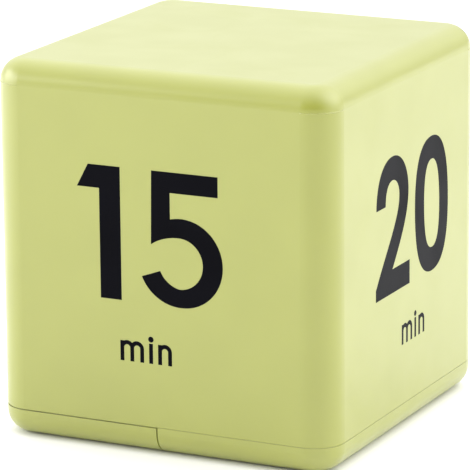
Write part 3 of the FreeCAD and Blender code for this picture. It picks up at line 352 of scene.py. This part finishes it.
@dataclass(frozen=True)
class Finish:
    """One material: a Principled surface whose colour, roughness and relief vary over it."""

    name: str
    colour: Colour
    roughness: float
    shade: float = 0.12          # how much darker the mottled parts are
    spread: float = 0.08         # how far the roughness wanders
    relief: float = 0.004 * MM   # height of the fine texture
    grain: float = 0.16 * MM
    wear_and_highlight: float = 0.15           # how pale an edge gets, by rubbing and by a painted highlight
    smear: float = 0.05          # how much a finger smear changes the roughness
    metallic: float = 0.0
    ior: float = 1.5
    coat: float = 0.0
    coat_ior: float = 1.5
    coat_roughness: float = 0.1
    pattern: Pattern = Pattern.MOULDED
    wear_and_highlight_whiteness: ClassVar[float] = 0.35              # how far towards white a pale edge can go, by rubbing and by a painted highlight
    scratch_roughness: ClassVar[float] = 0.15

    def relief_and_mottle(self, graph: Graph) -> tuple[bpy.types.NodeSocket, bpy.types.NodeSocket]:
        """Places the pattern's group.

        Args:
            graph: tools for the material's tree.

        Returns:
            The height and the mottle sockets.
        """
        if self.pattern is Pattern.DRAWN:
            lines = BrushedLines.place(graph, line_size=self.grain)
            return lines["Height"], lines["Shade"]
        grain = MouldedGrain.place(graph, grain_size=self.grain)
        return grain["Height"], grain["Mottle"]

    def paint(self, graph: Graph, mottle: bpy.types.NodeSocket) -> bpy.types.NodeSocket:
        """Colours the surface before its edges are paled by rubbing and a painted highlight.

        Args:
            graph: tools for the material's tree.
            mottle: the pattern's slow variation.

        Returns:
            The colour's socket.
        """
        dark = tuple(c * (1.0 - self.shade) for c in self.colour)
        return graph.blend(graph.span(mottle, *MOTTLE_RANGE, 0.0, 1.0), dark, self.colour)

    def make(self) -> bpy.types.Material:
        """Builds the material, or finds it when it is already built.

        Returns:
            The material.
        """
        found = bpy.data.materials.get(self.name)
        if found:
            return found
        material = bpy.data.materials.new(self.name)
        material.use_nodes = True
        material.node_tree.nodes.clear()
        graph = Graph(material.node_tree)
        height, mottle = self.relief_and_mottle(graph)
        marks = HandlingMarks.place(graph)
        # sharp edges are paled towards white: partly rubbing, partly a painted highlight
        edge = EdgeWearAndHighlight.place(graph)["Mask"]
        pale = tuple(c + (1.0 - c) * self.wear_and_highlight_whiteness for c in self.colour)
        colour = graph.blend(graph.calc("MULTIPLY", edge, self.wear_and_highlight), self.paint(graph, mottle), pale)
        rough = graph.span(mottle, *MOTTLE_RANGE, self.roughness + self.spread, self.roughness - self.spread)
        rough = graph.calc("ADD", rough, graph.calc("MULTIPLY", marks["Smear"], self.smear))
        scratch = graph.calc("MULTIPLY", marks["Scratch"], self.scratch_roughness)
        rough = graph.calc("ADD", rough, scratch, clamp=True)
        bump = graph.node("ShaderNodeBump", {"Strength": 1.0, "Distance": self.relief, "Height": height})
        inputs = {"Base Color": colour, "Roughness": rough, "Normal": bump.outputs[0],
                  "Metallic": self.metallic, "IOR": self.ior, "Coat Weight": self.coat,
                  "Coat IOR": self.coat_ior, "Coat Roughness": self.coat_roughness}
        surface = graph.node("ShaderNodeBsdfPrincipled", inputs)
        self.finish_surface(graph, surface)
        graph.node("ShaderNodeOutputMaterial", {"Surface": surface.outputs[0]})
        material.diffuse_color = (*self.colour, 1.0)
        return material

    def finish_surface(self, graph: Graph, surface: bpy.types.Node) -> None:
        """Leaves the surface as it is; other finishes add to it here."""


@dataclass(frozen=True)
class ClearFinish(Finish):
    """A clear or tinted sheet that lets part of what lies behind it show."""

    alpha: float = 0.3

    def finish_surface(self, graph: Graph, surface: bpy.types.Node) -> None:
        """Sets how much the sheet covers.

        Args:
            graph: tools for the material's tree.
            surface: the Principled node.
        """
        surface.inputs["Alpha"].default_value = self.alpha


@dataclass(frozen=True)
class CellFilm(Finish):
    """Printed film of a cell: a broad band of colour and a pale band round the positive end."""

    band_colour: Colour = (0.78, 0.78, 0.76)
    band_start: float = 0.0
    band_end: float = 0.0

    def paint(self, graph: Graph, mottle: bpy.types.NodeSocket) -> bpy.types.NodeSocket:
        """Adds the bands to the film's colour; see the base class for Args and Returns."""
        base = Finish.paint(self, graph, mottle)
        place = graph.node("ShaderNodeTexCoord").outputs["Object"]
        along = graph.node("ShaderNodeSeparateXYZ", {0: place}).outputs[1]
        after = graph.calc("GREATER_THAN", along, min(self.band_start, self.band_end))
        before = graph.calc("LESS_THAN", along, max(self.band_start, self.band_end))
        return graph.blend(graph.calc("MULTIPLY", after, before), base, self.band_colour)


# the lime plastic's strong edge paling is partly rubbing and partly a painted highlight along its seams and
# sharp edges
LIME = Finish("lime_case_plastic", (0.32, 0.34, 0.042), 0.36, shade=0.035, spread=0.03, relief=0.0016 * MM,
              wear_and_highlight=0.35, smear=0.04, ior=1.6, coat=0.8, coat_ior=1.6, coat_roughness=0.34)
INK = Finish("black_print_ink", (0.002, 0.002, 0.004), 0.36, shade=0.3, spread=0.04, relief=0.002 * MM,
             grain=0.1 * MM, wear_and_highlight=0.02, ior=1.12)
WINDOW = ClearFinish("clear_window", (0.9, 0.92, 0.92), 0.06, shade=0.02, spread=0.02, relief=0.0004 * MM,
                     alpha=0.14)
TAPE = Finish("black_foam_tape", (0.02, 0.02, 0.02), 0.85, relief=0.02 * MM, grain=0.3 * MM)
FILM = ClearFinish("grey_polariser", (0.50, 0.53, 0.46), 0.3, shade=0.04, relief=0.0005 * MM, alpha=0.28)
GLASS = ClearFinish("display_glass", (0.78, 0.84, 0.82), 0.05, shade=0.02, spread=0.02, relief=0.0003 * MM,
                    alpha=0.12)
FIGURES = ClearFinish("display_figures", (0.03, 0.035, 0.035), 0.4, relief=0.0003 * MM, alpha=0.85)
REFLECTOR = Finish("silver_reflector", (0.55, 0.58, 0.50), 0.42, shade=0.06, relief=0.002 * MM, metallic=0.6,
                   pattern=Pattern.DRAWN)
HOLDER = Finish("white_holder_plastic", (0.72, 0.72, 0.68), 0.5, relief=0.003 * MM)
SILICONE = Finish("pink_silicone_strip", (0.62, 0.3, 0.3), 0.6, relief=0.002 * MM)
RESIN = Finish("black_resin", (0.012, 0.012, 0.013), 0.14, spread=0.05, relief=0.006 * MM, grain=1.2 * MM)
STEEL = Finish("drawn_steel", (0.62, 0.62, 0.61), 0.3, metallic=1.0, relief=0.001 * MM, pattern=Pattern.DRAWN)
NICKEL = Finish("nickel_plate", (0.70, 0.69, 0.66), 0.22, metallic=1.0, relief=0.0008 * MM, grain=0.1 * MM,
                pattern=Pattern.DRAWN)
ZINC = Finish("zinc_plate", (0.55, 0.56, 0.58), 0.34, metallic=1.0, relief=0.002 * MM)
GOLD = Finish("gold_plate", (0.90, 0.66, 0.28), 0.2, metallic=1.0, relief=0.0006 * MM)
BRASS = Finish("rolled_brass", (0.78, 0.58, 0.26), 0.3, metallic=1.0, relief=0.001 * MM,
               pattern=Pattern.DRAWN)
SHRINK_FILM = Finish("blue_shrink_film", (0.02, 0.03, 0.09), 0.3, relief=0.002 * MM)
CERAMIC = Finish("chip_ceramic", (0.07, 0.06, 0.05), 0.5, relief=0.006 * MM)
BLACK_PLASTIC = Finish("black_moulding", (0.018, 0.018, 0.02), 0.42, relief=0.004 * MM, smear=0.08)
PHENOLIC = Finish("brown_phenolic", (0.20, 0.09, 0.035), 0.5, relief=0.004 * MM)
RED_PVC = Finish("red_insulation", (0.55, 0.02, 0.015), 0.38, relief=0.003 * MM)
BLACK_PVC = Finish("black_insulation", (0.02, 0.02, 0.02), 0.38, relief=0.003 * MM)
BOARD = Finish("green_board", (0.02, 0.16, 0.06), 0.3, shade=0.35, relief=0.004 * MM, grain=1.0 * MM)


# ---------------------------------------------------------------- mesh tools
def dress(piece: bpy.types.Object, finish: Finish) -> None:
    """Gives a piece one finish.

    Args:
        piece: the object.
        finish: its finish.
    """
    piece.data.materials.clear()
    piece.data.materials.append(finish.make())


def dress_node(node: str, finish: Finish) -> None:
    """Gives a frame node one finish and reports it.

    Args:
        node: the node's name.
        finish: its finish.
    """
    dress(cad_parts[node], finish)
    log.info("%s wears %s", node, finish.name)


def add_piece(name: str, shape: bmesh.types.BMesh, finish: Finish, body: str) -> bpy.types.Object:
    """Makes an object from a finished mesh, dresses it and sets what it rides on.

    Args:
        name: the piece's name.
        shape: its mesh, which this call uses up.
        finish: its finish.
        body: the body it moves with.

    Returns:
        The new object.
    """
    bmesh.ops.recalc_face_normals(shape, faces=shape.faces)
    mesh = bpy.data.meshes.new(name)
    shape.to_mesh(mesh)
    shape.free()
    for face in mesh.polygons:
        face.use_smooth = True
    piece = bpy.data.objects.new(name, mesh)
    bpy.context.scene.collection.objects.link(piece)
    dress(piece, finish)
    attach(piece, body)
    log.info("%s rides on %s", name, body)
    return piece


def sweep(shape: bmesh.types.BMesh, sections: Sequence[Sequence[Point]]) -> None:
    """Skins closed cross-sections into one closed strip.

    Args:
        shape: the mesh to add to.
        sections: rings with the same number of points each.
    """
    rings = [[shape.verts.new(point) for point in ring] for ring in sections]
    for ring, following in zip(rings, rings[1:]):
        for i in range(len(ring)):
            j = (i + 1) % len(ring)
            shape.faces.new((ring[i], ring[j], following[j], following[i]))
    shape.faces.new(rings[0])
    shape.faces.new(rings[-1][::-1])


# ---------------------------------------------------------------- sub-assemblies
@dataclass
class Case:
    """The upper case, the base and the battery door, with the mould's witness lines."""

    edge_radius: float = 5.5 * MM
    top_radius: float = 4.1 * MM
    ridge_width: float = 0.22 * MM
    ridge_rise: float = 0.06 * MM
    ridge_least: float = 0.002 * MM      # its rise at the two ends
    ridge_root: float = 0.05 * MM        # how deep it reaches into the wall
    ridge_fade: float = 1 / 6            # part of its length that each end takes to fade
    ridge_steps: int = 24
    slot: str = "case_plastic"
    body: str = "case"
    shells: tuple[str, ...] = ("upper_case", "base_plate", "battery_door")

    def witness_line(self, corner: int) -> bpy.types.Object:
        """Makes the thin ridge that the mould leaves round one upper corner.

        Args:
            corner: 0 to 3, anticlockwise from the corner between +X and +Y.

        Returns:
            The ridge.
        """
        low, high = cad_low, cad_high
        sign_x = 1 if corner in (0, 3) else -1
        sign_y = 1 if corner in (0, 1) else -1
        centre_x = (high.x if sign_x > 0 else low.x) - sign_x * self.edge_radius
        centre_y = (high.y if sign_y > 0 else low.y) - sign_y * self.edge_radius
        level = high.z - self.top_radius
        start = math.radians(90 * corner)
        sections = []
        for i in range(self.ridge_steps + 1):
            share = i / self.ridge_steps
            angle = start + share * math.pi / 2
            rise = self.ridge_rise * min(1.0, share / self.ridge_fade, (1 - share) / self.ridge_fade)
            outer = self.edge_radius + max(rise, self.ridge_least)
            inner = self.edge_radius - self.ridge_root
            half = self.ridge_width / 2
            profile = ((inner, -half), (self.edge_radius, -half), (outer, 0.0),
                       (self.edge_radius, half), (inner, half))
            sections.append([(centre_x + math.cos(angle) * r, centre_y + math.sin(angle) * r, level + z)
                             for r, z in profile])
        shape = bmesh.new()
        sweep(shape, sections)
        return add_piece(f"mould_line_{corner + 1}", shape, LIME, self.body)

    def build(self) -> None:
        """Dresses the shells and adds the four witness lines."""
        for node in self.shells:
            dress_node(node, LIME)
        for corner in range(4):
            self.witness_line(corner)


@dataclass
class Prints:
    """The pad-printed minutes on the four upright faces."""

    minutes: tuple[int, ...] = (15, 20, 30, 60)

    def build(self) -> None:
        """Dresses each face's print."""
        for count in self.minutes:
            dress_node(f"print_{count}", INK)


@dataclass
class Display:
    """The window and the liquid crystal panel behind it."""

    finishes: dict[str, Finish] = field(default_factory=lambda: {
        "lcd_window": WINDOW, "lens_tape": TAPE, "lcd_front_film": FILM, "lcd_front_glass": GLASS,
        "lcd_segments": FIGURES, "lcd_rear_glass": GLASS, "lcd_reflector": REFLECTOR,
        "lcd_holder": HOLDER, "rubber_connector": SILICONE})

    def build(self) -> None:
        """Dresses each layer."""
        for node, finish in self.finishes.items():
            dress_node(node, finish)


@dataclass
class Electronics:
    """The board with its parts, the tilt switches, the power switch and the sounder."""

    finishes: dict[str, Finish] = field(default_factory=lambda: {
        "circuit_board": BOARD, "chip_blob": RESIN, "crystal": STEEL, "capacitor": SHRINK_FILM,
        "chip_parts": CERAMIC, "tilt_cans": STEEL, "tilt_plugs": BLACK_PLASTIC, "tilt_pins": GOLD,
        "switch_case": STEEL, "switch_base": PHENOLIC, "switch_lever": BLACK_PLASTIC,
        "switch_knob": BLACK_PLASTIC, "buzzer_can": BLACK_PLASTIC, "buzzer_diaphragm": BRASS,
        "buzzer_pins": STEEL, "tilt_ball_15": GOLD, "tilt_ball_20": GOLD, "tilt_ball_30": GOLD,
        "tilt_ball_60": GOLD})

    def build(self) -> None:
        """Dresses each part."""
        for node, finish in self.finishes.items():
            dress_node(node, finish)


@dataclass
class Power:
    """The two cells, their contacts and the leads to the board."""

    band_width: float = 9.0 * MM
    band_overrun: float = 1.0 * MM       # how far the band is carried past the film's end
    film_roughness: float = 0.25
    film_blue: Colour = (0.015, 0.07, 0.24)

    def film(self, node: str, towards_back: bool) -> CellFilm:
        """Works out one cell's film.

        Args:
            node: the sleeve's node.
            towards_back: True where the positive end faces +Y.

        Returns:
            Its finish.
        """
        low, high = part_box(node)
        start = high.y - self.band_width if towards_back else low.y - self.band_overrun
        end = high.y + self.band_overrun if towards_back else low.y + self.band_width
        return CellFilm(f"{node}_film", self.film_blue, self.film_roughness, relief=0.001 * MM,
                        band_start=start, band_end=end)

    def build(self) -> None:
        """Dresses the cells, the contacts and the leads."""
        for node in ("first_cell", "second_cell", "double_contact", "positive_contact",
                     "negative_contact"):
            dress_node(node, NICKEL)
        dress_node("first_cell_sleeve", self.film("first_cell_sleeve", False))
        dress_node("second_cell_sleeve", self.film("second_cell_sleeve", True))
        dress_node("positive_lead", RED_PVC)
        dress_node("negative_lead", BLACK_PVC)


@dataclass
class Fasteners:
    """The screws of the case and of the board."""

    def build(self) -> None:
        """Dresses both kinds of screw."""
        for node in ("case_screws", "board_screws"):
            dress_node(node, ZINC)


# ---------------------------------------------------------------- studio
@dataclass(frozen=True)
class Softbox:
    """One large soft light."""

    name: str
    azimuth: float       # degrees round the timer, 0 in front of the 15 minute face
    elevation: float     # degrees above the floor
    distance: float
    width: float
    height: float
    power: float


@dataclass(frozen=True)
class Glow:
    """A broad bright area of the studio's white walls and ceiling."""

    azimuth: float
    elevation: float
    strength: float      # how much brighter its middle is than the plain wall
    narrowness: float    # 1 spreads it over half of the room, higher numbers draw it together


@dataclass
class Studio:
    """Floor, sky, lights and camera."""

    floor_half: float = 6.0
    floor_colour: Colour = (0.95, 0.95, 0.95)
    floor_roughness: float = 0.75
    floor_drop: float = 0.02 * MM        # keeps the floor just clear of the base
    wall: float = 0.09                   # brightness of the plain wall
    glows: tuple[Glow, ...] = (Glow(112.0, 30.0, 2.95, 4.5), Glow(-128.0, 66.0, 2.05, 1.1))
    boxes: tuple[Softbox, ...] = (Softbox("front_left_softbox", -62.0, 17.0, 1.1, 1.2, 0.6, 8.8),)
    camera_azimuth: float = 26.168
    camera_elevation: float = 14.551
    camera_roll: float = -0.512
    camera_distance: float = 0.652078
    camera_side: float = -1.052 * MM
    camera_rise: float = -0.507 * MM
    target_height: float = 31.75 * MM
    sensor: float = 36.0                 # mm
    lens: float = 285.91                 # mm
    nearest: float = 0.01
    farthest: float = 50.0

    def floor(self) -> None:
        """Lays a plain pale floor with a faint unevenness."""
        shape = bmesh.new()
        half = self.floor_half
        corners = [shape.verts.new((x * half, y * half, 0.0))
                   for x, y in ((-1, -1), (1, -1), (1, 1), (-1, 1))]
        shape.faces.new(corners)
        mesh = bpy.data.meshes.new("studio_floor")
        shape.to_mesh(mesh)
        shape.free()
        piece = bpy.data.objects.new("studio_floor", mesh)
        bpy.context.scene.collection.objects.link(piece)
        piece.location.z = cad_low.z - self.floor_drop
        finish = Finish("pale_floor", self.floor_colour, self.floor_roughness, shade=0.01, relief=0.002 * MM,
                        wear_and_highlight=0.0)
        dress(piece, finish)

    def world(self) -> None:
        """Surrounds the scene with white walls and a ceiling that glow softly."""
        world = bpy.data.worlds.new("studio_walls")
        world.use_nodes = True
        world.node_tree.nodes.clear()
        graph = Graph(world.node_tree)
        ray = graph.node("ShaderNodeTexCoord").outputs["Generated"]
        strength: object = self.wall
        for glow in self.glows:
            towards = tuple(direction(glow.azimuth, glow.elevation))
            dot = graph.node("ShaderNodeVectorMath", {0: ray, 1: towards}, operation="DOT_PRODUCT")
            ahead = graph.calc("MAXIMUM", dot.outputs["Value"], 0.0)
            fade = graph.calc("POWER", ahead, glow.narrowness)
            strength = graph.calc("ADD", strength, graph.calc("MULTIPLY", fade, glow.strength))
        background = graph.node("ShaderNodeBackground", {"Color": (1.0, 1.0, 1.0), "Strength": strength})
        graph.node("ShaderNodeOutputWorld", {"Surface": background.outputs[0]})
        bpy.context.scene.world = world

    def lights(self) -> None:
        """Hangs the softboxes, each facing the timer."""
        centre = (cad_low + cad_high) / 2
        for box in self.boxes:
            data = bpy.data.lights.new(box.name, "AREA")
            data.shape = "RECTANGLE"
            data.size, data.size_y = box.width, box.height
            data.energy = box.power
            lamp = bpy.data.objects.new(box.name, data)
            bpy.context.scene.collection.objects.link(lamp)
            away = direction(box.azimuth, box.elevation)
            lamp.location = centre + away * box.distance
            lamp.rotation_euler = (-away).to_track_quat("-Z", "Y").to_euler()

    def camera(self) -> None:
        """Sets the camera at its place, looking a little down at the timer."""
        back = direction(self.camera_azimuth, self.camera_elevation)
        azimuth = math.radians(self.camera_azimuth)
        level_right = Vector((math.cos(azimuth), math.sin(azimuth), 0.0))
        level_up = back.cross(level_right)
        roll = math.radians(self.camera_roll)
        right = level_right * math.cos(roll) + level_up * math.sin(roll)
        up = level_up * math.cos(roll) - level_right * math.sin(roll)
        target = Vector((0.0, 0.0, cad_low.z + self.target_height))
        place = target + right * self.camera_side + up * self.camera_rise + back * self.camera_distance
        data = bpy.data.cameras.new("studio_camera")
        data.sensor_width = self.sensor
        data.lens = self.lens
        data.clip_start, data.clip_end = self.nearest, self.farthest
        camera = bpy.data.objects.new("studio_camera", data)
        bpy.context.scene.collection.objects.link(camera)
        turn = Matrix((right, up, back)).transposed()
        camera.matrix_world = Matrix.Translation(place) @ turn.to_4x4()
        bpy.context.scene.camera = camera

    def build(self) -> None:
        """Sets up everything round the timer."""
        bpy.context.scene.view_settings.view_transform = "Standard"
        self.camera()
        self.world()
        self.floor()
        self.lights()


def direction(azimuth: float, elevation: float) -> Vector:
    """Turns two angles into a direction away from the timer.

    Args:
        azimuth: degrees, 0 out of the 15 minute face and 90 out of the 20 minute face.
        elevation: degrees above the floor.

    Returns:
        The unit vector.
    """
    a, e = math.radians(azimuth), math.radians(elevation)
    return Vector((math.sin(a) * math.cos(e), -math.cos(a) * math.cos(e), math.sin(e)))


def main() -> None:
    """Builds the studio and then each sub-assembly in turn."""
    logging.basicConfig(level=logging.INFO, format="%(name)s: %(message)s")
    Studio().build()
    for assembly in (Case(), Prints(), Display(), Electronics(), Power(), Fasteners()):
        assembly.build()
        log.info("%s is done", type(assembly).__name__)


if __name__ == "__main__":
    main()
